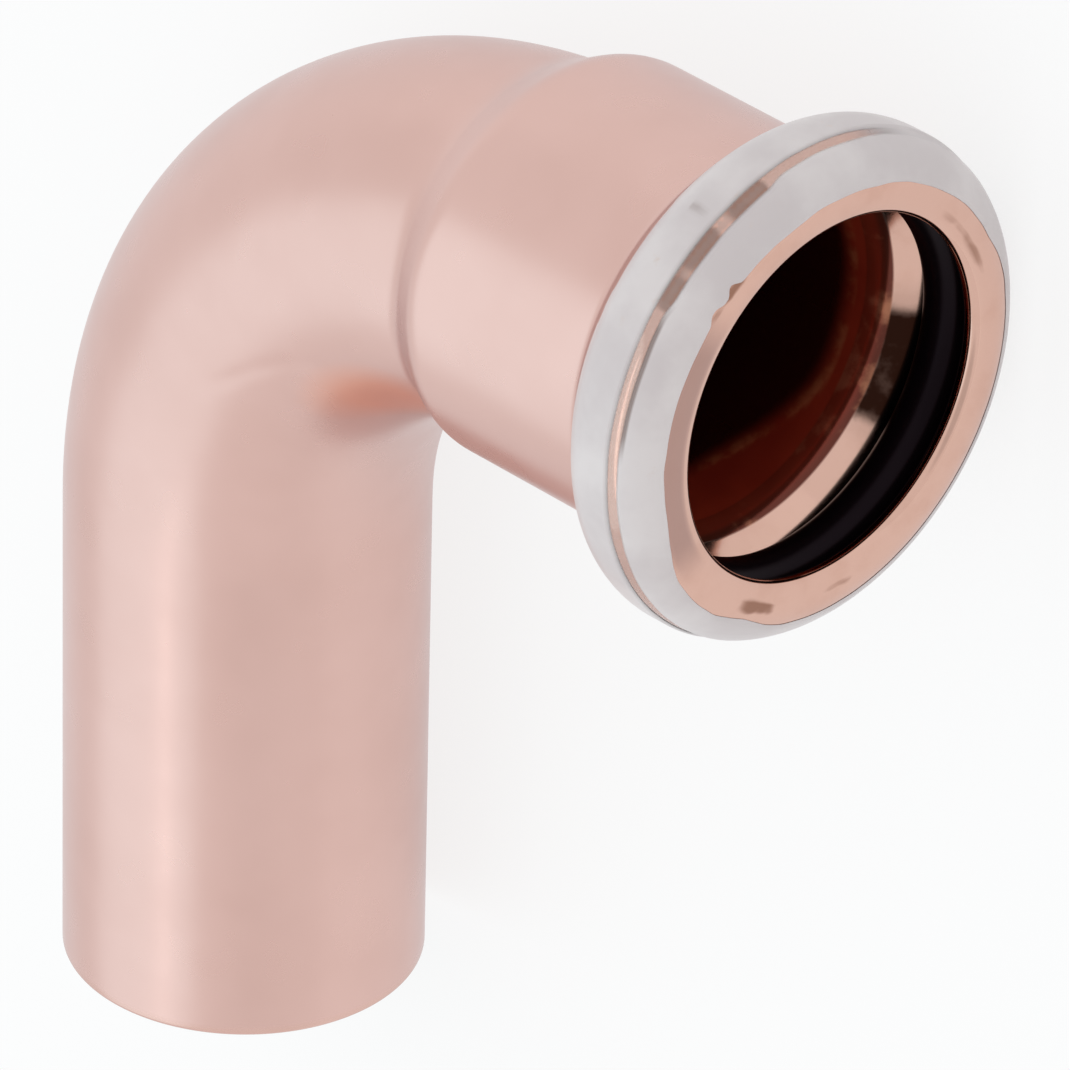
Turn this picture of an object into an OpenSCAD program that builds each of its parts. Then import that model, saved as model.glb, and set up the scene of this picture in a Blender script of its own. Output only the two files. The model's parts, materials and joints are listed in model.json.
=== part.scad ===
// Copper press fitting: a 90 degree bend with a plain end and a press socket.
// It lies on its side, as it comes to rest. The plain end's axis is Y, with the origin
// at the centre of its rim, and the socket looks along +X, tilted up a little by its bead.

/* [Tube] */
// Outside diameter of the tube, and of the plain end
tube_d = 22; // [18:0.5:28]
// Wall of the copper
wall = 1.25; // [1:0.05:1.4]
// Straight length of the plain end
plain_length = 31.6; // [20:0.2:60]
// Radius of the bend, at the tube's centre line
bend_radius = 27.8; // [24:0.2:45]
// Edge broken off the plain end's rim, inside and out
rim_break = 0.3; // [0.1:0.05:0.4]

/* [Socket] */
// Depth to which a tube goes in, from the mouth to the stop
insertion_depth = 21; // [19:0.5:32]
// Room round a tube in the socket, on its radius
tube_clearance = 0.2; // [0.1:0.05:0.4]
// Distance of the tube stop before the end of the bend
stop_setback = 0.5; // [0:0.1:1.5]
// Slope of the flare from the bend up to the socket
flare_angle = 28; // [22:1:40]
// Outside radius of the shoulder where the flare meets the neck
shoulder_radius = 3; // [2:0.25:4]

/* [Bead] */
// Height of the bead over the socket's neck
bead_rise = 3.05; // [2.8:0.05:3.3]
// Outside radius of the bead's section
bead_radius = 3; // [2.8:0.05:3.2]
// Straight length along the bead's crest
crest_length = 1; // [0.6:0.1:2]
// Slope of the bead's rear flank
flank_angle = 45; // [40:1:55]
// Outside radius of the corner between the neck and the rear flank
corner_radius = 1; // [0.6:0.1:1.4]

/* [Seal ring] */
// Room between the seal ring and a tube, on the tube's radius
seal_tube_gap = 0.1; // [0.05:0.05:0.2]
// Room between the seal ring and the bottom of its groove
seal_seat_gap = 0.05; // [0.02:0.01:0.1]

/* [Pressing indicator] */
// Thickness of the film
film_thickness = 0.12; // [0.1:0.02:0.3]
// Thickness of the clear strip beside the crest
strip_thickness = 0.04; // [0.02:0.01:0.08]
// Room between the film and the copper
film_gap = 0.02; // [0.01:0.01:0.05]
// Length of film that runs down the bead's rear flank
film_lap = 0.7; // [0.2:0.1:1.5]
// Angle past the crest at which the clear strip starts
strip_start = 8; // [2:1:20]
// Angle that the clear strip covers
strip_sweep = 15; // [8:1:25]
// Angle past the crest at which the film ends
film_end = 73; // [55:1:85]

/* [Hidden] */
$fn = 96;

// Angles between the points of a round, and of the lip's small round edge
arc_step = 7.5;
edge_step = 22.5;

tube_r = tube_d / 2;
tube_bore_r = tube_r - wall;
socket_bore_r = tube_r + tube_clearance;
neck_r = socket_bore_r + wall;

// Places along the socket's axis are measured from the end of the bend
stop_x = -stop_setback;
mouth_x = stop_x + insertion_depth;

// The shoulder's arc ends at the stop, and the flare's cone runs down into the bend's wall
shoulder_centre = [neck_r - shoulder_radius, stop_x];
flare_foot_r = tube_r - wall / 2;
flare_rise = neck_r - shoulder_radius * (1 - cos(flare_angle)) - flare_foot_r;

// The bead's section: a corner out of the neck, a straight flank, a round, the crest and a round to the lip
crest_r = neck_r + bead_rise;
bead_centre_r = crest_r - bead_radius;
flank_length = (bead_rise - (corner_radius + bead_radius) * (1 - cos(flank_angle))) / sin(flank_angle);
bead_front_x = mouth_x - bead_radius;
bead_rear_x = bead_front_x - crest_length;
neck_end_x = bead_rear_x - (corner_radius + bead_radius) * sin(flank_angle) - flank_length * cos(flank_angle);

// The lip curls in until its round edge leaves a mouth as wide as the socket's bore
edge_radius = wall / 2;
lip_turn = 90 + asin((bead_centre_r - socket_bore_r - edge_radius) / (bead_radius - edge_radius));
lip_centre = [bead_centre_r, bead_front_x] + (bead_radius - edge_radius) * [cos(lip_turn), sin(lip_turn)];

seal_inner_r = tube_r + seal_tube_gap;
seal_outer_r = crest_r - wall - seal_seat_gap;
seal_x = bead_rear_x + crest_length / 2;

film_outside = film_gap + film_thickness;
strip_outside = film_gap + strip_thickness;
strip_end = strip_start + strip_sweep;

// The fitting turns about the plain end's axis until the film on its bead is as low as the plain end
bead_reach = bend_radius + bead_rear_x;
rest_tilt = atan2(bead_centre_r, bead_reach)
    - asin((tube_r - bead_radius - film_outside) / norm([bead_reach, bead_centre_r]));

copper = [0.84, 0.64, 0.57];
black_rubber = [0.07, 0.07, 0.08];
milky_film = [0.85, 0.85, 0.85];

// Sections are drawn as [distance from the axis, place along it], with angles from the first to the second

// Points along an arc, at steps no wider than the one given
function arc(centre, radius, from, to, step = arc_step) =
    let (steps = ceil(abs(to - from) / step))
    [for (i = [0:steps]) let (a = from + (to - from) * i / steps) centre + radius * [cos(a), sin(a)]];

function reversed(points) = [for (i = [len(points) - 1:-1:0]) points[i]];

// The bead's round from its rear flank up to the crest, at a distance outside the copper
function bead_back(outside) = arc([bead_centre_r, bead_rear_x], bead_radius + outside, -flank_angle, 0);

// The bead from the neck up to its crest, at a distance outside the copper
function bead_rear(outside) = concat(
    arc([neck_r + corner_radius, neck_end_x], corner_radius - outside, 180, 180 - flank_angle),
    bead_back(outside));

// The bead past its crest, between two angles, at a distance outside the copper
function bead_front(outside, from, to) = arc([bead_centre_r, bead_front_x], bead_radius + outside, from, to);

// The lip's round edge, from one face of the wall to the narrowest point of the mouth
function lip_edge(from) =
    let (points = arc(lip_centre, edge_radius, from, 180, edge_step))
    [for (i = [1:len(points) - 1]) points[i]];

// One face of the socket's wall from the flare to the mouth, at a distance outside the copper
function socket_face(outside, lip_from) =
    let (shoulder = arc(shoulder_centre, shoulder_radius + outside, -flare_angle, 0))
    let (foot = shoulder[0] - flare_rise * [1, 1 / tan(flare_angle)])
    concat([[0, foot[1]], foot], shoulder, bead_rear(outside),
           bead_front(outside, 0, lip_turn), lip_edge(lip_from));

// Lays the fitting, drawn from the start of its bend, on its side with the plain end's rim at the origin
module at_rest() rotate([0, -rest_tilt, 0]) translate([0, plain_length, 0]) children();

// Puts what is turned about Z on the socket's axis, with zero at the end of the bend
module on_socket_axis() translate([bend_radius, bend_radius, 0]) rotate([0, 90, 0]) children();

// The plain end and the bend as a solid of one radius, with another radius at the end by the rim
module plain_end_and_bend(radius, end_radius, end) {
    rotate([90, 0, 0]) rotate_extrude()
        polygon([[0, 0], [radius, 0], [radius, plain_length - rim_break], [end_radius, end], [0, end]]);
    translate([bend_radius, 0, 0]) rotate([0, 0, 90])
        rotate_extrude(angle = 90) translate([bend_radius, 0]) circle(radius);
}

// The copper: a tube bent, flared and beaded in one piece
module body()
    color(copper) at_rest() difference() {
        union() {
            plain_end_and_bend(tube_r, tube_r - rim_break, plain_length);
            on_socket_axis() rotate_extrude()
                polygon(concat(socket_face(0, lip_turn), [[0, lip_centre[1]]]));
        }
        plain_end_and_bend(tube_bore_r, tube_bore_r + 2 * rim_break, plain_length + rim_break);
        on_socket_axis() rotate_extrude()
            polygon(concat(socket_face(-wall, lip_turn + 180),
                           [[socket_bore_r, mouth_x + wall], [0, mouth_x + wall]]));
    }

// The ring in the bead's groove that seals on the tube
module seal_ring()
    color(black_rubber) at_rest() on_socket_axis() rotate_extrude()
        translate([(seal_inner_r + seal_outer_r) / 2, seal_x]) circle((seal_outer_r - seal_inner_r) / 2);

// The film round the bead, milky apart from a thin clear strip beside the crest
module pressing_indicator() {
    down_flank = -film_lap * [sin(flank_angle), cos(flank_angle)];
    color(milky_film) at_rest() on_socket_axis() rotate_extrude()
        polygon(concat([bead_back(film_outside)[0] + down_flank], bead_back(film_outside),
                       bead_front(film_outside, 0, strip_start),
                       bead_front(strip_outside, strip_start, strip_end),
                       bead_front(film_outside, strip_end, film_end),
                       reversed(bead_front(film_gap, 0, film_end)), reversed(bead_back(film_gap)),
                       [bead_back(film_gap)[0] + down_flank]));
}

body();
seal_ring();
pressing_indicator();
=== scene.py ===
import json
import math

import bmesh
import bpy
import numpy as np
from mathutils import Matrix, Vector


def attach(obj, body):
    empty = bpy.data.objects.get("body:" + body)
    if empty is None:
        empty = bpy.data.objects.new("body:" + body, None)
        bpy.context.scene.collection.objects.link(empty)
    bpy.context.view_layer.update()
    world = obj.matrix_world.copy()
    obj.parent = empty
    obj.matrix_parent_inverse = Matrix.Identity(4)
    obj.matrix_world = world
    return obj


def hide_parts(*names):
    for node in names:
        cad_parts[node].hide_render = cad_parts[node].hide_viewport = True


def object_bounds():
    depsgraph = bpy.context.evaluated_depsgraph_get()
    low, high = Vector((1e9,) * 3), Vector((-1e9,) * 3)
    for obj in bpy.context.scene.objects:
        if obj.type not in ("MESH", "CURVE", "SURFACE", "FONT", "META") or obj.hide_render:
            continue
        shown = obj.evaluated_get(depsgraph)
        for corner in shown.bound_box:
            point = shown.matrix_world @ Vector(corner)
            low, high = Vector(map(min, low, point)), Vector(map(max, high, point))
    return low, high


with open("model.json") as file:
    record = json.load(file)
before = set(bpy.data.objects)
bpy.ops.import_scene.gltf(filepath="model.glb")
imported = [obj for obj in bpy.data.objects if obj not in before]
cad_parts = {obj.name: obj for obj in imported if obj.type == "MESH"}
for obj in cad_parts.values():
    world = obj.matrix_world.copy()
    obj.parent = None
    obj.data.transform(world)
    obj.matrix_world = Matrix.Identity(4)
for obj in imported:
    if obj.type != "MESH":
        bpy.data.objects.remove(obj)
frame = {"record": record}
cad_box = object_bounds()
scene = bpy.context.scene

# Sizes of the fitting in millimetres, as in the solids
MM = 0.001
TUBE_R = 11.0
WALL = 1.25
PLAIN_LENGTH = 31.6
BEND_RADIUS = 27.8
RIM_BREAK = 0.3
INSERTION_DEPTH = 21.0
TUBE_CLEARANCE = 0.2
STOP_SETBACK = 0.5
FLARE_ANGLE = math.radians(28)
SHOULDER_RADIUS = 3.0
BEAD_RISE = 3.05
BEAD_RADIUS = 3.0
CREST_LENGTH = 1.0
FLANK_ANGLE = math.radians(45)
CORNER_RADIUS = 1.0
SEAL_TUBE_GAP = 0.1
SEAL_SEAT_GAP = 0.05
FILM_THICKNESS = 0.12
FILM_GAP = 0.02
FILM_LAP = 0.7
STRIP_START = math.radians(8)
STRIP_SWEEP = math.radians(15)
FILM_END = math.radians(73)

# Places along the socket's axis, from the end of the bend, and distances from that axis
BORE_R = TUBE_R - WALL
SOCKET_R = TUBE_R + TUBE_CLEARANCE
NECK_R = SOCKET_R + WALL
STOP_X = -STOP_SETBACK
MOUTH_X = STOP_X + INSERTION_DEPTH
CREST_R = NECK_R + BEAD_RISE
BEAD_R = CREST_R - BEAD_RADIUS
TURN_RADIUS = CORNER_RADIUS + BEAD_RADIUS
FLANK = (BEAD_RISE - TURN_RADIUS * (1 - math.cos(FLANK_ANGLE))) / math.sin(FLANK_ANGLE)
FRONT_X = MOUTH_X - BEAD_RADIUS
REAR_X = FRONT_X - CREST_LENGTH
NECK_END = REAR_X - TURN_RADIUS * math.sin(FLANK_ANGLE) - FLANK * math.cos(FLANK_ANGLE)
EDGE_R = WALL / 2
LIP_REACH = BEAD_RADIUS - EDGE_R
LIP_TURN = math.pi / 2 + math.asin((BEAD_R - SOCKET_R - EDGE_R) / LIP_REACH)
LIP = (BEAD_R + LIP_REACH * math.cos(LIP_TURN), FRONT_X + LIP_REACH * math.sin(LIP_TURN))

# The fitting is drawn from the start of its bend, and the record's socket axis gives its tilt at rest
mounts = {m["name"]: m for m in frame["record"]["mounts"]}
socket_axis = mounts["press_socket"]["axis"]
TILT = math.atan2(socket_axis[2], socket_axis[0])
AT_REST = Matrix.Rotation(-TILT, 4, "Y") @ Matrix.Translation((0, PLAIN_LENGTH * MM, 0))

# Angles of the points round the copper and the seal, and of those round the film, whose edges are finer
AROUND = 192
PHI = np.linspace(0, 2 * math.pi, AROUND, endpoint=False)
FILM_AROUND = 480
FILM_PHI = np.linspace(0, 2 * math.pi, FILM_AROUND, endpoint=False)

# Degrees between the points of each arc
RIM_STEP = 15
CORNER_STEP = 6
BEAD_STEP = 4
LIP_STEP = 10
SEAL_STEP = 7.5

# Rows of the straight runs, and how far in millimetres they stay from the rim, the bend and the bead
PLAIN_ROWS = 30
NECK_ROWS = 28
FLANK_ROWS = 6
RIM_MARGIN = 0.4
BEND_MARGIN = 0.8
BEAD_MARGIN = 0.2

# The searches for the line between bend and flare: their halvings, and the bend's angles they lie between
HALVINGS = 40
FLARE_FROM = math.radians(50)
FLARE_TO = math.radians(90)


def arc(centre, radius, start, end, step):
    """Points of an arc as [distance from the axis, place along it]."""
    count = max(2, int(math.ceil(abs(end - start) / math.radians(step))) + 1)
    a = np.linspace(start, end, count)
    return np.stack([centre[0] + radius * np.cos(a), centre[1] + radius * np.sin(a)], 1)


def bead_rear(outside):
    """The bead from the neck up to its crest, at a distance outside the copper."""
    corner_centre = (NECK_R + CORNER_RADIUS, NECK_END)
    corner = arc(corner_centre, CORNER_RADIUS - outside, math.pi, math.pi - FLANK_ANGLE, CORNER_STEP)
    rise = arc((BEAD_R, REAR_X), BEAD_RADIUS + outside, -FLANK_ANGLE, 0, BEAD_STEP)
    flank = corner[-1] + (rise[0] - corner[-1]) * np.linspace(0, 1, FLANK_ROWS)[1:-1, None]
    return np.concatenate([corner, flank, rise])


def bead_front(outside):
    """The bead from its crest to the lip, at a distance outside the copper."""
    return arc((BEAD_R, FRONT_X), BEAD_RADIUS + outside, 0, LIP_TURN, BEAD_STEP)


def straight(radius, start, end, rows):
    """Points along a straight run."""
    return np.stack([np.full(rows, radius), np.linspace(start, end, rows)], 1)


def on_socket(profile):
    """Turns a section about the socket's axis: one ring of points for each of its points."""
    r = profile[:, 0][:, None]
    x = profile[:, 1][:, None] + 0 * PHI
    return np.stack([BEND_RADIUS + x, BEND_RADIUS + r * np.cos(PHI), r * np.sin(PHI)], 2)


def on_plain_end(profile):
    """Turns a section about the plain end's axis, with places measured from the bend."""
    r = profile[:, 0][:, None]
    y = -profile[:, 1][:, None] + 0 * PHI
    return np.stack([-r * np.cos(PHI), y, r * np.sin(PHI)], 2)


def bend_point(theta, rho):
    """A point at a distance from the bend's centre line, for each angle round it."""
    reach = BEND_RADIUS + rho * np.cos(PHI)
    return np.stack([BEND_RADIUS - reach * np.cos(theta), reach * np.sin(theta), rho * np.sin(PHI)], -1)


def along_bend(points):
    """The bend's angle at each point."""
    return np.arctan2(points[..., 1], BEND_RADIUS - points[..., 0])


def socket_gap(points, outside):
    """Distance of points from the flare, shoulder and neck of the socket, less than zero inside them."""
    x = points[..., 0] - BEND_RADIUS
    r = np.hypot(points[..., 1] - BEND_RADIUS, points[..., 2])
    radius = SHOULDER_RADIUS + outside
    centre_r = NECK_R - SHOULDER_RADIUS
    along = np.clip(STOP_X - x, 0, radius * math.sin(FLARE_ANGLE))
    on_arc = centre_r + np.sqrt(radius ** 2 - along ** 2)
    beyond = np.maximum(STOP_X - x - radius * math.sin(FLARE_ANGLE), 0)
    surface = on_arc - beyond * math.tan(FLARE_ANGLE)
    slope = np.arcsin(along / radius)
    return (r - surface) * np.cos(slope)


def flare_line(tube_radius, outside):
    """The bend's angle at which the flare rises out of the tube, for each angle round it."""
    low = np.full(AROUND, FLARE_FROM)
    high = np.full(AROUND, FLARE_TO)
    for _ in range(HALVINGS):
        mid = (low + high) / 2
        before = socket_gap(bend_point(mid, np.full(AROUND, tube_radius)), outside) > 0
        low = np.where(before, mid, low)
        high = np.where(before, high, mid)
    return (low + high) / 2


def joined(theta, tube_radius, outside, softness):
    """Distance from the centre line to the bend and flare together, with a soft line between them."""
    low = np.full(AROUND, 0.5 * tube_radius)
    high = np.full(AROUND, 1.5 * tube_radius)
    for _ in range(HALVINGS):
        mid = (low + high) / 2
        a = mid - tube_radius
        b = socket_gap(bend_point(theta, mid), outside)
        h = np.maximum(softness - np.abs(a - b), 0) / softness
        inside = np.minimum(a, b) - h * h * softness / 4 < 0
        low = np.where(inside, mid, low)
        high = np.where(inside, high, mid)
    return (low + high) / 2


def bend_rings(tube_radius, outside, softness, rows, half_width):
    """Rings along the bend from its start to its end, close together where the flare rises out of it."""
    flare = flare_line(tube_radius, outside)
    width = half_width / (BEND_RADIUS + tube_radius * np.cos(PHI))
    before, across, after = rows
    stops = [(flare - width) * t for t in np.linspace(0, 1, before, endpoint=False)]
    stops += [flare + width * t for t in np.linspace(-1, 1, across, endpoint=False)]
    stops += [(flare + width) * (1 - t) + math.pi / 2 * t for t in np.linspace(0, 1, after)]
    return np.array([bend_point(s, joined(s, tube_radius, outside, softness)) for s in stops])


def ring_mesh(name, rings, marks):
    """A closed mesh of quads between rings of points in millimetres.

    Each mark has a value for each ring, or one for each point.
    """
    count, around = rings.shape[:2]
    i, j = np.meshgrid(np.arange(count), np.arange(around), indexing="ij")
    row = i * around
    next_row = (i + 1) % count * around
    next_j = (j + 1) % around
    faces = np.stack([row + j, row + next_j, next_row + next_j, next_row + j], -1)
    mesh = bpy.data.meshes.new(name)
    mesh.from_pydata((rings.reshape(-1, 3) * MM).tolist(), [], faces.reshape(-1, 4).tolist())
    for mark, values in marks.items():
        attribute = mesh.attributes.new(mark, "FLOAT", "POINT")
        values = np.asarray(values, np.float32)
        spread = np.repeat(values, around) if values.ndim == 1 else values.ravel()
        attribute.data.foreach_set("value", spread)
    mesh.transform(AT_REST)
    solid = bmesh.new()
    solid.from_mesh(mesh)
    if solid.calc_volume(signed=True) < 0:
        bmesh.ops.reverse_faces(solid, faces=solid.faces[:])
    for face in solid.faces:
        face.smooth = True
    solid.to_mesh(mesh)
    solid.free()
    mesh.update()
    piece = bpy.data.objects.new(name, mesh)
    scene.collection.objects.link(piece)
    return piece


def hump(phi, start, end, soft):
    """One between two angles in degrees and zero elsewhere, with soft edges."""
    middle = (start + end) / 2
    away = np.abs((np.degrees(phi) - middle + 180) % 360 - 180) - (end - start) / 2
    t = np.clip(0.5 - away / soft, 0, 1)
    return t * t * (3 - 2 * t)


# The bend's line to the flare, outside and inside: softness, rows before, across and after it, half width
BEND_OUTSIDE = (0.35, (56, 24, 16), 0.9)
BEND_INSIDE = (0.25, (40, 16, 12), 0.6)

# The crease inside the bend: degrees along the bend and round the tube, then its span, depth and half width
CREASE_ALONG = [34, 42, 47, 57, 64]
CREASE_ROUND = [103, 108, 110, 114, 118]
CREASE_SPAN = (38, 60, 10)
CREASE_DEPTH = 0.05
CREASE_HALF_WIDTH = 0.45

# A painted reddish reflection below the crease: middle and half widths along the bend and round the tube, in
# degrees
SOCKET_REFLECTION_MIDDLE = (67, 133)
SOCKET_REFLECTION_HALF_WIDTHS = (21, 18)
SOCKET_REFLECTION_GAIN = 1.7

# Depths that the copper's colour inside goes by: bare in the groove, painted shade by the lip, a painted red
# reflection, and painted black shade at one
GROOVE_DEPTH = 0.05
CORNER_SHADE_DEPTH = 0.5
LIP_DEPTH = 0.55
REFLECTED_RED_DEPTH = 0.6

# Radii between which the painted shade by the lip ends
CORNER_SHADE_TO_R = 11.72
BARE_FROM_R = 11.86

# How far along the socket the painted black shade comes, less some of that between angles round it, and how
# it fades
DEEP_SHADE_TO = 9.4
DEEP_SHADE_SHORTER = [(2.8, 140, 215, 50), (0.8, 290, 340, 40)]
DEEP_SHADE_FADE = 1.8
PLAIN_FADE = 6.0

# Where the bead's flank gets shiny
SHINY_FROM = 13.2
SHINY_FADE = 1.5

# A painted dark reflection on the groove's flank: radii, and how dark between angles round it with a soft
# edge
FLANK_REFLECTION_FROM_R = 11.6
FLANK_REFLECTION_FADE = 0.15
FLANK_REFLECTIONS = [(1, 250, 262, 7), (0.86, 229, 255, 7)]

# Spots on the bead: how brown, start, end and soft edge round it, and middle, half width and soft edge across
SPOTS = [
    (0.7, (147, 162, 12), (86, 4.8, 6)),
    (0.45, (172, 190, 8), (91, 3, 3)),
    (0.36, (286, 316, 24), (98, 3, 3)),
    (0.75, (34, 50, 6), (73, 4, 4)),
]

# Brown patches under the clear strip, on a lighter one that joins them, and their place across the bead
STRIP_PATCHES = [(17, 27, 4), (31, 39, 4), (44, 51, 4)]
STRIP_GROUND = (16, 51, 4)
STRIP_BAND = (17, 16, 4)

# A painted dark reflection on the bead: angles round it, and how dark it is by the angle past the crest
DIM_REFLECTION_ROUND = (50, 118, 16)
DIM_REFLECTION_ANGLES = [62, 72, 97, 103]


def band(angle, middle, half_width, soft):
    """One about an angle past the crest in degrees, and zero beyond a soft edge."""
    return np.clip((half_width + soft - np.abs(angle - middle)) / soft, 0, 1)


def spots(angle):
    """How brown the bead is round it, at angles in degrees past its crest."""
    brown = [share * hump(PHI, *sides) * band(angle, *across) for share, sides, across in SPOTS]
    patches = sum(hump(PHI, *sides) for sides in [STRIP_GROUND] + STRIP_PATCHES) / 2
    return np.max(brown + [patches * band(angle, *STRIP_BAND)], 0)


def creased(bend):
    """Presses a shallow crease into the inside of the bend, above the painted reflection there."""
    along = along_bend(bend)
    line = np.interp(np.degrees(along), CREASE_ALONG, CREASE_ROUND)
    beside = np.radians(np.degrees(PHI) - line) * TUBE_R
    pressed = CREASE_DEPTH * np.exp(-(beside / CREASE_HALF_WIDTH) ** 2) * hump(along, *CREASE_SPAN)
    middle = BEND_RADIUS * np.stack([1 - np.cos(along), np.sin(along), 0 * along], -1)
    outward = (bend - middle) / np.linalg.norm(bend - middle, axis=-1, keepdims=True)
    return bend - pressed[..., None] * outward


# The copper: one closed skin from the plain end's rim along the outside to the lip, and back inside
def copper_skin():
    """Rings of the copper's skin, with its marks.

    They are polish, from satin to shiny, depth inside the bore, which sets painted shade and a painted red
    reflection there, stain for the brown spots, and three painted reflections: a dark one on the bead, a dark
    one on the groove's flank and a reddish one inside the bend.
    """
    rim_place = PLAIN_LENGTH - RIM_BREAK
    rim_outer = arc((TUBE_R - RIM_BREAK, rim_place), RIM_BREAK, math.pi / 2, 0, RIM_STEP)
    rim_inner = arc((BORE_R + RIM_BREAK, rim_place), RIM_BREAK, math.pi, math.pi / 2, RIM_STEP)
    plain_outer = straight(TUBE_R, rim_place - RIM_MARGIN, BEND_MARGIN, PLAIN_ROWS)
    plain_inner = straight(BORE_R, rim_place - RIM_MARGIN, BEND_MARGIN, PLAIN_ROWS)[::-1]
    neck_outer = straight(NECK_R, BEND_MARGIN, NECK_END - BEAD_MARGIN, NECK_ROWS)
    neck_inner = neck_outer[::-1] - [WALL, 0]
    bend = creased(bend_rings(TUBE_R, 0, *BEND_OUTSIDE))
    rear = bead_rear(0)
    front = bead_front(0)
    lip_outer = arc(LIP, EDGE_R, LIP_TURN, math.pi, LIP_STEP)[1:]
    lip_inner = arc(LIP, EDGE_R, math.pi, LIP_TURN + math.pi, LIP_STEP)[1:-1]
    groove = np.concatenate([bead_front(-WALL)[::-1], bead_rear(-WALL)[::-1]])
    groove_r, groove_x = groove.T

    rear_polish = np.clip((rear[:, 1] - SHINY_FROM) / SHINY_FADE, 0, 1)
    # Painted shade in the corner at the flank's foot, by depth
    corner_shade_radii = [SOCKET_R, CORNER_SHADE_TO_R, BARE_FROM_R]
    corner_shaded = np.interp(groove_r, corner_shade_radii, [LIP_DEPTH, CORNER_SHADE_DEPTH, GROOVE_DEPTH])
    groove_depth = np.where(groove_x < FRONT_X, corner_shaded, GROOVE_DEPTH)
    # Painted black shade further into the neck and the plain end, by depth
    deep_shade_to = DEEP_SHADE_TO - sum(size * hump(PHI, *sides) for size, *sides in DEEP_SHADE_SHORTER)
    beyond_deep_shade = (neck_inner[:, 1:] - deep_shade_to) / DEEP_SHADE_FADE
    neck_depth = np.clip(1 - (1 - REFLECTED_RED_DEPTH) * beyond_deep_shade, REFLECTED_RED_DEPTH, 1)
    plain_depth = np.clip((PLAIN_LENGTH - plain_inner[:, 1:]) / PLAIN_FADE, 0, 1)

    # Each run of rings with its polish and depth
    runs = {
        "rim_outer": (on_plain_end(rim_outer), 0.3, 0),
        "plain_outer": (on_plain_end(plain_outer), 0, 0),
        "bend_outer": (bend, 0, 0),
        "neck_outer": (on_socket(neck_outer), 0, 0),
        "rear": (on_socket(rear), rear_polish, 0),
        "front": (on_socket(front), 1, 0),
        "lip_outer": (on_socket(lip_outer), 1, 0),
        "lip_inner": (on_socket(lip_inner), 1, 0),
        "groove": (on_socket(groove), 1, groove_depth[:, None]),
        "neck_inner": (on_socket(neck_inner), 1, neck_depth),
        "bend_inner": (bend_rings(BORE_R, -WALL, *BEND_INSIDE)[::-1], 1, 1),
        "plain_inner": (on_plain_end(plain_inner), 1, plain_depth),
        "rim_inner": (on_plain_end(rim_inner), 0.5, 0),
    }
    rings = np.concatenate([r for r, _, _ in runs.values()])
    marks = {
        "polish": np.concatenate([np.broadcast_to(p, len(r)) for r, p, _ in runs.values()]),
        "depth": np.concatenate([np.broadcast_to(d, r.shape[:2]) for r, _, d in runs.values()]),
    }

    def mark(name, run, values):
        """Adds a mark that one run has, and the others don't."""
        names = list(runs)
        start = sum(len(runs[n][0]) for n in names[:names.index(run)])
        marks[name] = np.zeros(rings.shape[:2])
        marks[name][start:start + len(runs[run][0])] = values

    angle = np.degrees(np.linspace(0, LIP_TURN, len(front)))[:, None]
    mark("stain", "front", spots(angle))
    # A painted dark reflection on the bead towards the lip
    mark("dim_reflection", "front", hump(PHI, *DIM_REFLECTION_ROUND) * np.interp(angle, DIM_REFLECTION_ANGLES, [0, 1, 1, 0]))
    # A painted dark reflection on the groove's flank
    on_flank = np.clip((groove_r - FLANK_REFLECTION_FROM_R) / FLANK_REFLECTION_FADE, 0, 1) * (groove_x < REAR_X)
    darkened = np.max([share * hump(PHI, *sides) for share, *sides in FLANK_REFLECTIONS], 0)
    mark("flank_reflection", "groove", on_flank[:, None] * darkened)
    # A painted reddish reflection of the socket's underside, inside the bend
    from_middle = np.hypot((np.degrees(along_bend(bend)) - SOCKET_REFLECTION_MIDDLE[0]) / SOCKET_REFLECTION_HALF_WIDTHS[0],
                           (np.degrees(PHI) - SOCKET_REFLECTION_MIDDLE[1]) / SOCKET_REFLECTION_HALF_WIDTHS[1])
    mark("socket_reflection", "bend_outer", np.clip(SOCKET_REFLECTION_GAIN * (1 - from_middle), 0, 1))
    return rings, marks


copper_body = ring_mesh("copper_body", *copper_skin())

# The seal ring
seal_inner = TUBE_R + SEAL_TUBE_GAP
seal_outer = CREST_R - WALL - SEAL_SEAT_GAP
seal_centre = ((seal_inner + seal_outer) / 2, REAR_X + CREST_LENGTH / 2)
seal_section = arc(seal_centre, (seal_outer - seal_inner) / 2, 0, 2 * math.pi, SEAL_STEP)[:-1]
seal = ring_mesh("seal_ring_rubber", on_socket(seal_section), {})

# The film: how far its clear strip, the underside of its thin places and its front edge are off the copper
STRIP_OUT = 0.022
THIN_GAP = 0.008
EDGE_OUT = 0.028
EDGE_TIP = 0.016

# The slope down to the strip, twice as wide at its rear, and where the front part starts to get thin
STRIP_SLOPE = math.radians(1.5)
THIN_FROM = 0.88

# Rows of the strip: their place across it, and how clear they are
STRIP_ROWS = [(0, 0.4), (0.06, 0.65), (0.14, 1), (0.25, 1), (0.5, 1), (0.75, 1),
              (0.84, 0.7), (0.92, 0.3), (1, 0)]

# How the film's edges wander: millimetres for the lap or else degrees, seed, most waves round, and falloff
LAP_WANDER = (0.12, 3, 40, 1.1)
STRIP_START_WANDER = (0.8, 5, 50, 1.0)
STRIP_END_WANDER = (1.0, 6, 50, 1.0)
FRONT_WANDER = (1.8, 8, 60, 0.9)
FEWEST_WAVES = 3

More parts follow.
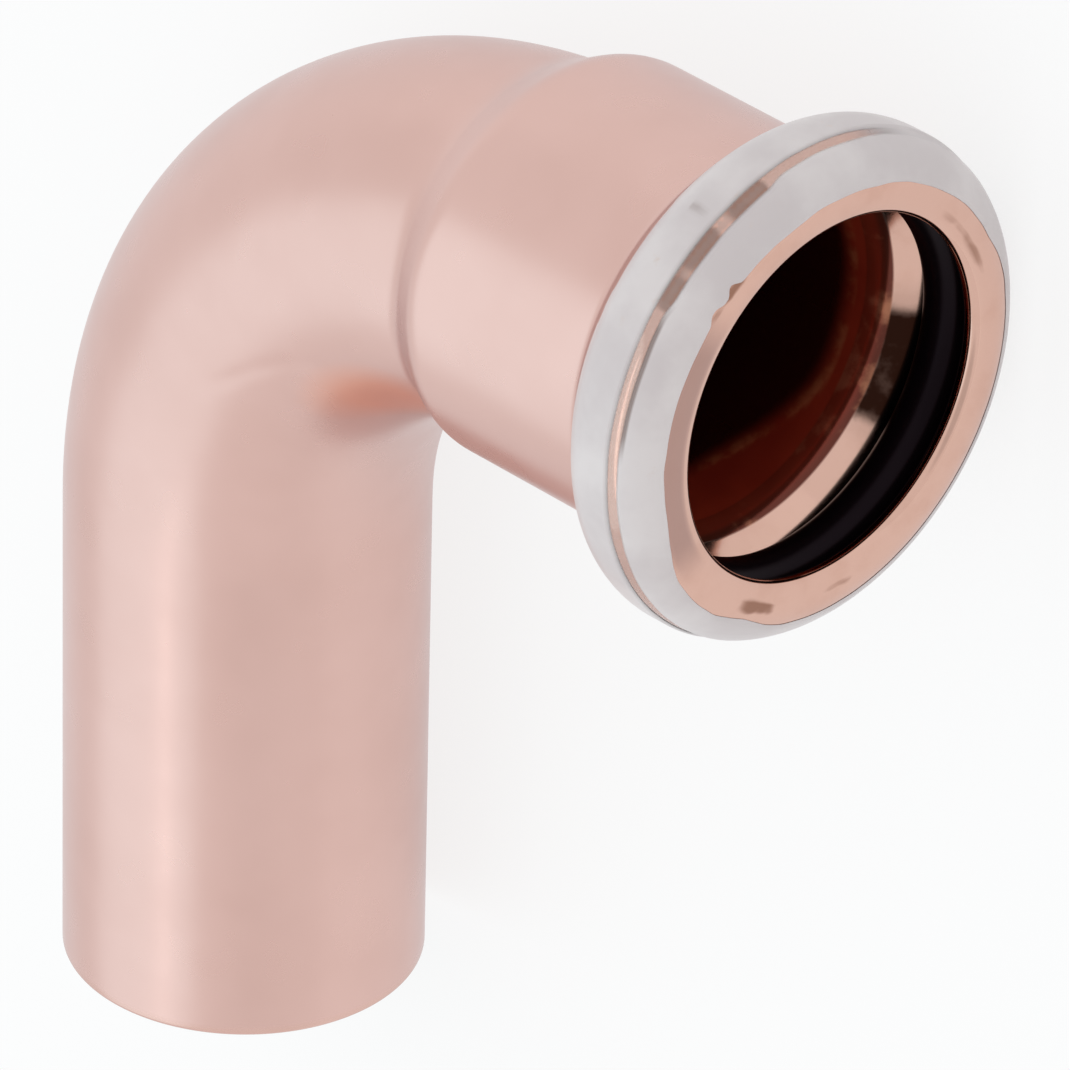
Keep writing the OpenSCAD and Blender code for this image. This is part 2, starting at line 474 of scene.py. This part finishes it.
# Where those edges bulge out, or in if less than zero: how far, from and to which angle, and a soft edge
LAP_BULGES = [(-0.4, 28, 52, 2), (-0.25, 57, 60, 2), (-0.3, 118, 124, 3)]
STRIP_BULGES = [(5, 14, 50, 6)]
FRONT_BULGES = [(5, -40, 30, 40), (-9, 112, 146, 20), (-11, 156, 290, 20),
                (-8, 37, 40, 3), (-5.6, 44, 48, 3)]

# Where the strip is clouded, where a painted shadow lies along its front edge, and where the film is scuffed,
# in the same way
CLOUDED = [(0.85, 290, 342, 26)]
EDGE_SHADOW = [(1, 52, 82, 8)]
SCUFF = [(0.5, 28, 29.5, 2)]


def wander(size, seed, most_waves, falloff):
    """A closed wavy line round the bead."""
    draws = np.random.RandomState(seed)
    waves = np.arange(FEWEST_WAVES, most_waves)
    phases = draws.uniform(0, 2 * math.pi, len(waves))
    line = sum(np.sin(k * FILM_PHI + p) / k ** falloff for k, p in zip(waves, phases))
    return size * (line / np.abs(line).max())


def bulges(rows):
    """The sum of humps of different sizes round the film."""
    return sum(size * hump(FILM_PHI, *sides) for size, *sides in rows)


def film_front(angle, outside):
    """A ring past the bead's crest, at an angle for each point and a distance outside the copper."""
    reach = BEAD_RADIUS + outside
    return BEAD_R + reach * np.cos(angle), FRONT_X + reach * np.sin(angle)


def film_rear(lap, outside, share):
    """A ring from the film's rear edge, at zero, up the flank to one and round to the crest at two."""
    reach = BEAD_RADIUS + outside
    a = -FLANK_ANGLE * (2 - share) if share > 1 else -FLANK_ANGLE
    down = lap * max(0, 1 - share)
    r = BEAD_R + reach * math.cos(a) - down * math.sin(FLANK_ANGLE)
    return r, REAR_X + reach * math.sin(a) - down * math.cos(FLANK_ANGLE)


def film_skin():
    """Rings of the film from its rear edge over the outside to its front edge and back along the copper.

    Its marks are strip, for how clear it is, and line, for a painted shadow along the strip's front edge and
    a scuff near the crest.
    """
    film_out = FILM_GAP + FILM_THICKNESS
    lap = FILM_LAP + wander(*LAP_WANDER) + bulges(LAP_BULGES)
    strip_start = STRIP_START + np.radians(wander(*STRIP_START_WANDER))
    strip_end_waves = np.radians(wander(*STRIP_END_WANDER) + bulges(STRIP_BULGES))
    strip_end = STRIP_START + STRIP_SWEEP + strip_end_waves
    film_end = FILM_END + np.radians(wander(*FRONT_WANDER) + bulges(FRONT_BULGES))
    before_strip = strip_start - 2 * STRIP_SLOPE
    after_strip = strip_end + STRIP_SLOPE
    clearness = 1 - bulges(CLOUDED)
    # A painted shadow along the strip's front edge
    edge_shadow = bulges(EDGE_SHADOW)
    scuff = bulges(SCUFF)
    clean = 0 * FILM_PHI
    rings = []
    clear = []
    line = []

    def add(place, strip=0, brown=clean):
        r = place[0] + clean
        x = place[1] + clean
        ring = [BEND_RADIUS + x, BEND_RADIUS + r * np.cos(FILM_PHI), r * np.sin(FILM_PHI)]
        rings.append(np.stack(ring, 1))
        clear.append(strip * clearness)
        line.append(brown)

    def across_strip(t):
        return strip_start + (strip_end - strip_start) * t

    def past_strip(t):
        return after_strip + (film_end - after_strip) * t

    # The outside, from the rear edge to the front edge
    for share in np.concatenate([[0.06, 0.2, 0.6], np.linspace(1, 2, 13)]):
        add(film_rear(lap, film_out, share), 0, scuff if share > 1.8 else clean)
    for t in (0, 0.4, 0.8, 1):
        add(film_front(t * before_strip, film_out))
    for t, share in STRIP_ROWS:
        add(film_front(across_strip(t), STRIP_OUT), share, edge_shadow if t > 0.8 else clean)
    for t in np.concatenate([[0, 0.01], np.linspace(0.06, 0.9, 12), [0.94, 0.97, 0.99]]):
        outside = np.interp(t, [THIN_FROM, 1], [film_out, EDGE_OUT])
        add(film_front(past_strip(t), outside), 0, edge_shadow if t < 0.03 else clean)
    add(film_front(film_end, EDGE_TIP))

    # The side by the copper, back to the rear edge
    for t in np.concatenate([[0.99, 0.97, 0.94, 0.9], np.linspace(0.85, 0.1, 11), [0.005]]):
        add(film_front(past_strip(t), np.interp(t, [THIN_FROM, 1], [FILM_GAP, THIN_GAP])))
    for t in (1.05, 1, 0.5, 0, -0.1):
        add(film_front(across_strip(t), THIN_GAP), 1)
    for t in (1, 0.5, 0):
        add(film_front(t * before_strip, FILM_GAP))
    for share in np.concatenate([np.linspace(2, 1, 13), [0.06]]):
        add(film_rear(lap, FILM_GAP, share))
    add(film_rear(lap, FILM_GAP + FILM_THICKNESS / 2, 0))
    return np.array(rings), {"strip": np.array(clear), "line": np.array(line)}


film = ring_mesh("pressing_film", *film_skin())

for piece, node, slot in ((copper_body, "body", "copper"), (seal, "seal_ring", "rubber"),
                          (film, "pressing_indicator", "film")):
    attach(piece, "root")
    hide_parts(node)


class Shading:
    """A material and short ways to add nodes to it."""

    def __init__(self, name, **values):
        self.material = bpy.data.materials.new(name)
        self.material.use_nodes = True
        self.nodes = self.material.node_tree.nodes
        self.links = self.material.node_tree.links
        self.shader = self.nodes["Principled BSDF"]
        for key, value in values.items():
            self.shader.inputs[key.replace("_", " ")].default_value = value
        self.place = self.nodes.new("ShaderNodeTexCoord").outputs["Object"]

    def feed(self, socket, value):
        if isinstance(value, bpy.types.NodeSocket):
            self.links.new(value, socket)
        else:
            socket.default_value = value

    def mark(self, name):
        node = self.nodes.new("ShaderNodeAttribute")
        node.attribute_name = name
        return node.outputs["Fac"]

    def noise(self, scale, detail=4.0, rough=0.55):
        node = self.nodes.new("ShaderNodeTexNoise")
        self.links.new(self.place, node.inputs["Vector"])
        node.inputs["Scale"].default_value = scale
        node.inputs["Detail"].default_value = detail
        node.inputs["Roughness"].default_value = rough
        return node.outputs["Fac"]

    def spread(self, value, low, high, to_low=0.0, to_high=1.0):
        node = self.nodes.new("ShaderNodeMapRange")
        node.interpolation_type = "SMOOTHSTEP"
        self.feed(node.inputs["Value"], value)
        self.feed(node.inputs["From Min"], low)
        self.feed(node.inputs["From Max"], high)
        self.feed(node.inputs["To Min"], to_low)
        self.feed(node.inputs["To Max"], to_high)
        return node.outputs["Result"]

    def maths(self, operation, *values):
        node = self.nodes.new("ShaderNodeMath")
        node.operation = operation
        for socket, value in zip(node.inputs, values):
            self.feed(socket, value)
        return node.outputs["Value"]

    def blend(self, share, a, b):
        node = self.nodes.new("ShaderNodeMix")
        node.data_type = "RGBA"
        self.feed(node.inputs["Factor"], share)
        self.feed(node.inputs["A"], a)
        self.feed(node.inputs["B"], b)
        return node.outputs["Result"]

    def relief(self, height, strength, distance):
        node = self.nodes.new("ShaderNodeBump")
        node.inputs["Strength"].default_value = strength
        node.inputs["Distance"].default_value = distance
        self.links.new(height, node.inputs["Height"])
        self.links.new(node.outputs["Normal"], self.shader.inputs["Normal"])


# Colours, as pairs where one varies between two
SATIN_COPPER = [(0.72, 0.475, 0.422, 1), (0.745, 0.497, 0.444, 1)]
SHINY_COPPER = [(0.70, 0.445, 0.362, 1), (0.66, 0.405, 0.322, 1)]
# Painted dark reflection on the bead
DIM_REFLECTION_COPPER = (0.36, 0.225, 0.20, 1)
BROWN_SPOT = (0.33, 0.17, 0.12, 1)
# Painted reddish reflection inside the bend
SOCKET_REFLECTION_COPPER = (0.86, 0.41, 0.28, 1)
# Painted dark reflection on the groove's flank
FLANK_REFLECTION_COPPER = (0.028, 0.009, 0.005, 1)
# Painted inside: a red reflection, a highlight ring and black shade
REFLECTED_RED_INSIDE = [(0.75, 0.08, 0.035, 1), (0.52, 0.045, 0.02, 1)]
HIGHLIGHT_INSIDE = (0.95, 0.26, 0.11, 1)
DEEP_SHADE = (0.05, 0.006, 0.003, 1)
# Painted shade with painted glints, in the corner by the lip
CORNER_SHADE = [(0.15, 0.032, 0.018, 1), (0.5, 0.2, 0.11, 1)]
RUBBER = [(0.002, 0.001, 0.0015, 1), (0.004, 0.002, 0.003, 1)]
MILKY = [(0.62, 0.56, 0.56, 1), (0.71, 0.655, 0.65, 1)]
MILKY_FLECK = (0.66, 0.56, 0.52, 1)
# Painted shadow along the strip's front edge
EDGE_SHADOW_COLOUR = (0.20, 0.13, 0.11, 1)


def copper_material():
    m = Shading("copper", Specular_Tint=(0.85, 0.85, 0.87, 1), Coat_Roughness=0.3)
    polish = m.mark("polish")
    depth = m.mark("depth")
    cloud = m.noise(90, 3.0)
    fleck = m.noise(420)

    # Outside: satin or shiny, with the marks over it: brown spots and painted reflections
    satin = m.blend(m.spread(cloud, 0.35, 0.65), *SATIN_COPPER)
    shiny = m.blend(m.spread(fleck, 0.4, 0.8), *SHINY_COPPER)
    outside = m.blend(polish, satin, shiny)
    # A painted dark reflection on the bead
    outside = m.blend(m.maths("MULTIPLY", m.mark("dim_reflection"), 0.75), outside, DIM_REFLECTION_COPPER)
    ragged = m.maths("ADD", m.mark("stain"), m.spread(m.noise(380, 2.0, 0.5), 0.25, 0.75, -0.4, 0.3))
    outside = m.blend(m.spread(ragged, 0.3, 0.8), outside, BROWN_SPOT)
    # A painted reddish reflection inside the bend
    outside = m.blend(m.maths("MULTIPLY", m.mark("socket_reflection"), 0.8), outside, SOCKET_REFLECTION_COPPER)
    # A painted dark reflection on the groove's flank
    flank_reflection = m.maths("ADD", m.mark("flank_reflection"), m.spread(m.noise(700, 3.0), 0.3, 0.7, -0.2, 0.0))
    outside = m.blend(m.spread(flank_reflection, 0.0, 0.8), outside, FLANK_REFLECTION_COPPER)

    # Inside: painted shade with painted glints by the lip, then a painted red reflection with a painted
    # highlight ring, and painted black shade further in
    reflected_red = m.blend(m.spread(cloud, 0.4, 0.7), *REFLECTED_RED_INSIDE)
    # A painted highlight ring inside
    ring = m.maths("MULTIPLY", m.spread(depth, 0.6, 0.68), m.spread(depth, 0.74, 0.88, 1.0, 0.0))
    highlight = m.maths("MULTIPLY", ring, m.spread(fleck, 0.42, 0.66, 0.0, 0.8))
    reflected_red = m.blend(highlight, reflected_red, HIGHLIGHT_INSIDE)
    inside = m.blend(m.spread(depth, REFLECTED_RED_DEPTH, 1.0), reflected_red, DEEP_SHADE)
    # Painted shade with painted glints in the corner by the lip
    corner_shade = m.blend(m.spread(fleck, 0.5, 0.7), *CORNER_SHADE)
    inside = m.blend(m.spread(depth, CORNER_SHADE_DEPTH, REFLECTED_RED_DEPTH), corner_shade, inside)
    m.feed(m.shader.inputs["Base Color"], m.blend(m.spread(depth, 0.1, 0.45), outside, inside))

    m.feed(m.shader.inputs["Metallic"], m.spread(depth, 0.1, 0.5, 1.0, 0.6))
    m.feed(m.shader.inputs["Coat Weight"], m.spread(polish, 0.0, 1.0, 0.3, 0.05))
    satin_rough = m.spread(m.noise(260), 0.3, 0.7, 0.27, 0.32)
    shiny_rough = m.spread(fleck, 0.4, 0.8, 0.09, 0.13)
    rough = m.blend(polish, satin_rough, shiny_rough)
    m.feed(m.shader.inputs["Roughness"], m.maths("ADD", rough, m.maths("MULTIPLY", depth, 0.12)))
    m.relief(m.noise(320, 2.0, 0.5), 0.03, 0.00004)
    return m.material


def rubber_material():
    m = Shading("rubber", Roughness=0.3, Specular_IOR_Level=0.1, Specular_Tint=(1.0, 0.72, 0.9, 1))
    grain = m.noise(1600, 5.0)
    m.feed(m.shader.inputs["Base Color"], m.blend(grain, *RUBBER))
    m.relief(grain, 0.12, 0.00004)
    return m.material


def film_material():
    m = Shading("milky_film", Roughness=0.35)
    fine = m.noise(700)
    milky = m.blend(m.spread(m.noise(160), 0.35, 0.7), *MILKY)
    milky = m.blend(m.spread(fine, 0.64, 0.8), milky, MILKY_FLECK)
    # A painted shadow along the strip's front edge, and a scuff
    milky = m.blend(m.maths("MULTIPLY", m.mark("line"), 0.8), milky, EDGE_SHADOW_COLOUR)
    m.feed(m.shader.inputs["Base Color"], milky)
    m.feed(m.shader.inputs["Alpha"], m.spread(m.mark("strip"), 0.0, 1.0, 1.0, 0.12))
    m.relief(fine, 0.08, 0.00005)
    return m.material


copper_body.data.materials.append(copper_material())
seal.data.materials.append(rubber_material())
film.data.materials.append(film_material())

# The camera stands where the photograph was taken, given in a frame that has the plain end upright
CAMERA_AZIMUTH = math.radians(45.449)
CAMERA_ELEVATION = math.radians(31.505)
CAMERA_ROLL = math.radians(1.299)
CAMERA_DISTANCE = 773.253
CAMERA_ACROSS = 17.144
CAMERA_UP = -2.187
FOCAL_PIXELS = 13000
IMAGE_PIXELS = 1070
SENSOR = 36.0
CLIP_END = 20


def from_upright(v):
    """Turns a direction from the camera's frame, with the plain end down, to the fitting at rest."""
    return AT_REST.to_3x3() @ Vector((v[0], v[2], -v[1]))


back = Vector((math.sin(CAMERA_AZIMUTH) * math.cos(CAMERA_ELEVATION),
               -math.cos(CAMERA_AZIMUTH) * math.cos(CAMERA_ELEVATION), math.sin(CAMERA_ELEVATION)))
across = Vector((math.cos(CAMERA_AZIMUTH), math.sin(CAMERA_AZIMUTH), 0))
upward = back.cross(across)
eye = across * CAMERA_ACROSS + upward * CAMERA_UP + back * CAMERA_DISTANCE
turned_right = math.cos(CAMERA_ROLL) * across + math.sin(CAMERA_ROLL) * upward
turned_up = math.cos(CAMERA_ROLL) * upward - math.sin(CAMERA_ROLL) * across
camera_data = bpy.data.cameras.new("camera")
camera_data.sensor_width = SENSOR
camera_data.lens = FOCAL_PIXELS / IMAGE_PIXELS * SENSOR
camera_data.clip_end = CLIP_END
camera = bpy.data.objects.new("camera", camera_data)
scene.collection.objects.link(camera)
axes = Matrix([from_upright(v) for v in (turned_right, turned_up, back)]).transposed().to_4x4()
camera_place = from_upright(eye) * MM + Vector((0, PLAIN_LENGTH * MM, 0))
camera.matrix_world = Matrix.Translation(camera_place) @ axes
scene.camera = camera

# A white floor that keeps a faint shadow
FLOOR_HALF = 3.0
FLOOR_WHITE = (0.9, 0.9, 0.9, 1)
FLOOR_GLOW = 0.8
floor_z = cad_box[0][2]
corners = [(x * FLOOR_HALF, y * FLOOR_HALF, floor_z) for x, y in ((-1, -1), (1, -1), (1, 1), (-1, 1))]
floor_mesh = bpy.data.meshes.new("floor")
floor_mesh.from_pydata(corners, [], [(0, 1, 2, 3)])
floor = bpy.data.objects.new("floor", floor_mesh)
scene.collection.objects.link(floor)
floor_material = bpy.data.materials.new("floor")
floor_material.use_nodes = True
tree = floor_material.node_tree
tree.nodes.clear()
light_path = tree.nodes.new("ShaderNodeLightPath")
diffuse = tree.nodes.new("ShaderNodeBsdfDiffuse")
diffuse.inputs["Color"].default_value = FLOOR_WHITE
glow = tree.nodes.new("ShaderNodeEmission")
seen = light_path.outputs["Is Camera Ray"]
for ray in ("Is Glossy Ray", "Is Transmission Ray"):
    either = tree.nodes.new("ShaderNodeMath")
    either.operation = "MAXIMUM"
    tree.links.new(seen, either.inputs[0])
    tree.links.new(light_path.outputs[ray], either.inputs[1])
    seen = either.outputs["Value"]
glow_share = tree.nodes.new("ShaderNodeMath")
glow_share.operation = "MULTIPLY"
glow_share.inputs[1].default_value = FLOOR_GLOW
tree.links.new(seen, glow_share.inputs[0])
both = tree.nodes.new("ShaderNodeMixShader")
tree.links.new(glow_share.outputs["Value"], both.inputs["Fac"])
tree.links.new(diffuse.outputs["BSDF"], both.inputs[1])
tree.links.new(glow.outputs["Emission"], both.inputs[2])
output = tree.nodes.new("ShaderNodeOutputMaterial")
tree.links.new(both.outputs["Shader"], output.inputs["Surface"])
floor.data.materials.append(floor_material)

# An even sky with one darker patch: its direction, its level, and its half width and soft edge
SKY = 0.92
PATCH_TOWARD = Vector((0.69, 0.03, 0.72)).normalized()
PATCH_LEVEL = 0.75 * SKY
PATCH_HALF_WIDTH = math.radians(14)
PATCH_SOFT = math.radians(22)
world = bpy.data.worlds.new("world")
scene.world = world
world.use_nodes = True
tree = world.node_tree
direction = tree.nodes.new("ShaderNodeTexCoord").outputs["Generated"]
dot = tree.nodes.new("ShaderNodeVectorMath")
dot.operation = "DOT_PRODUCT"
tree.links.new(direction, dot.inputs[0])
dot.inputs[1].default_value = PATCH_TOWARD
level = tree.nodes.new("ShaderNodeMapRange")
level.interpolation_type = "SMOOTHSTEP"
tree.links.new(dot.outputs["Value"], level.inputs["Value"])
level.inputs["From Min"].default_value = math.cos(PATCH_HALF_WIDTH + PATCH_SOFT)
level.inputs["From Max"].default_value = math.cos(PATCH_HALF_WIDTH)
level.inputs["To Min"].default_value = SKY
level.inputs["To Max"].default_value = PATCH_LEVEL
background = tree.nodes["Background"]
background.inputs["Color"].default_value = (1, 1, 1, 1)
tree.links.new(level.outputs["Result"], background.inputs["Strength"])

# Soft boxes: name, direction from the fitting, radiance, width and length in metres, and colour
LAMP_DISTANCE = 0.8
LAMPS = [
    ("key", (-0.45, -0.20, 0.87), 0.37, (1.3, 1.3), (0.55, 0.88, 1.0)),
    ("band", (-0.19, -0.15, 0.95), 0.75, (0.085, 0.92), (1.0, 0.97, 0.94)),
]
centre = (Vector(cad_box[0]) + Vector(cad_box[1])) / 2
for name, toward, radiance, (width, length), colour in LAMPS:
    lamp_data = bpy.data.lights.new(name, "AREA")
    lamp_data.shape = "ELLIPSE"
    lamp_data.size = width
    lamp_data.size_y = length
    lamp_data.color = colour
    lamp_area = math.pi * width * length / 4
    lamp_data.energy = radiance * math.pi * lamp_area
    lamp = bpy.data.objects.new(name, lamp_data)
    scene.collection.objects.link(lamp)
    away = Vector(toward).normalized()
    side = Vector((0, 1, 0)).cross(away).normalized()
    turn = Matrix((side, away.cross(side), away)).transposed().to_4x4()
    lamp.matrix_world = Matrix.Translation(centre + away * LAMP_DISTANCE) @ turn
    lamp.visible_camera = False

scene.view_settings.view_transform = "Standard"
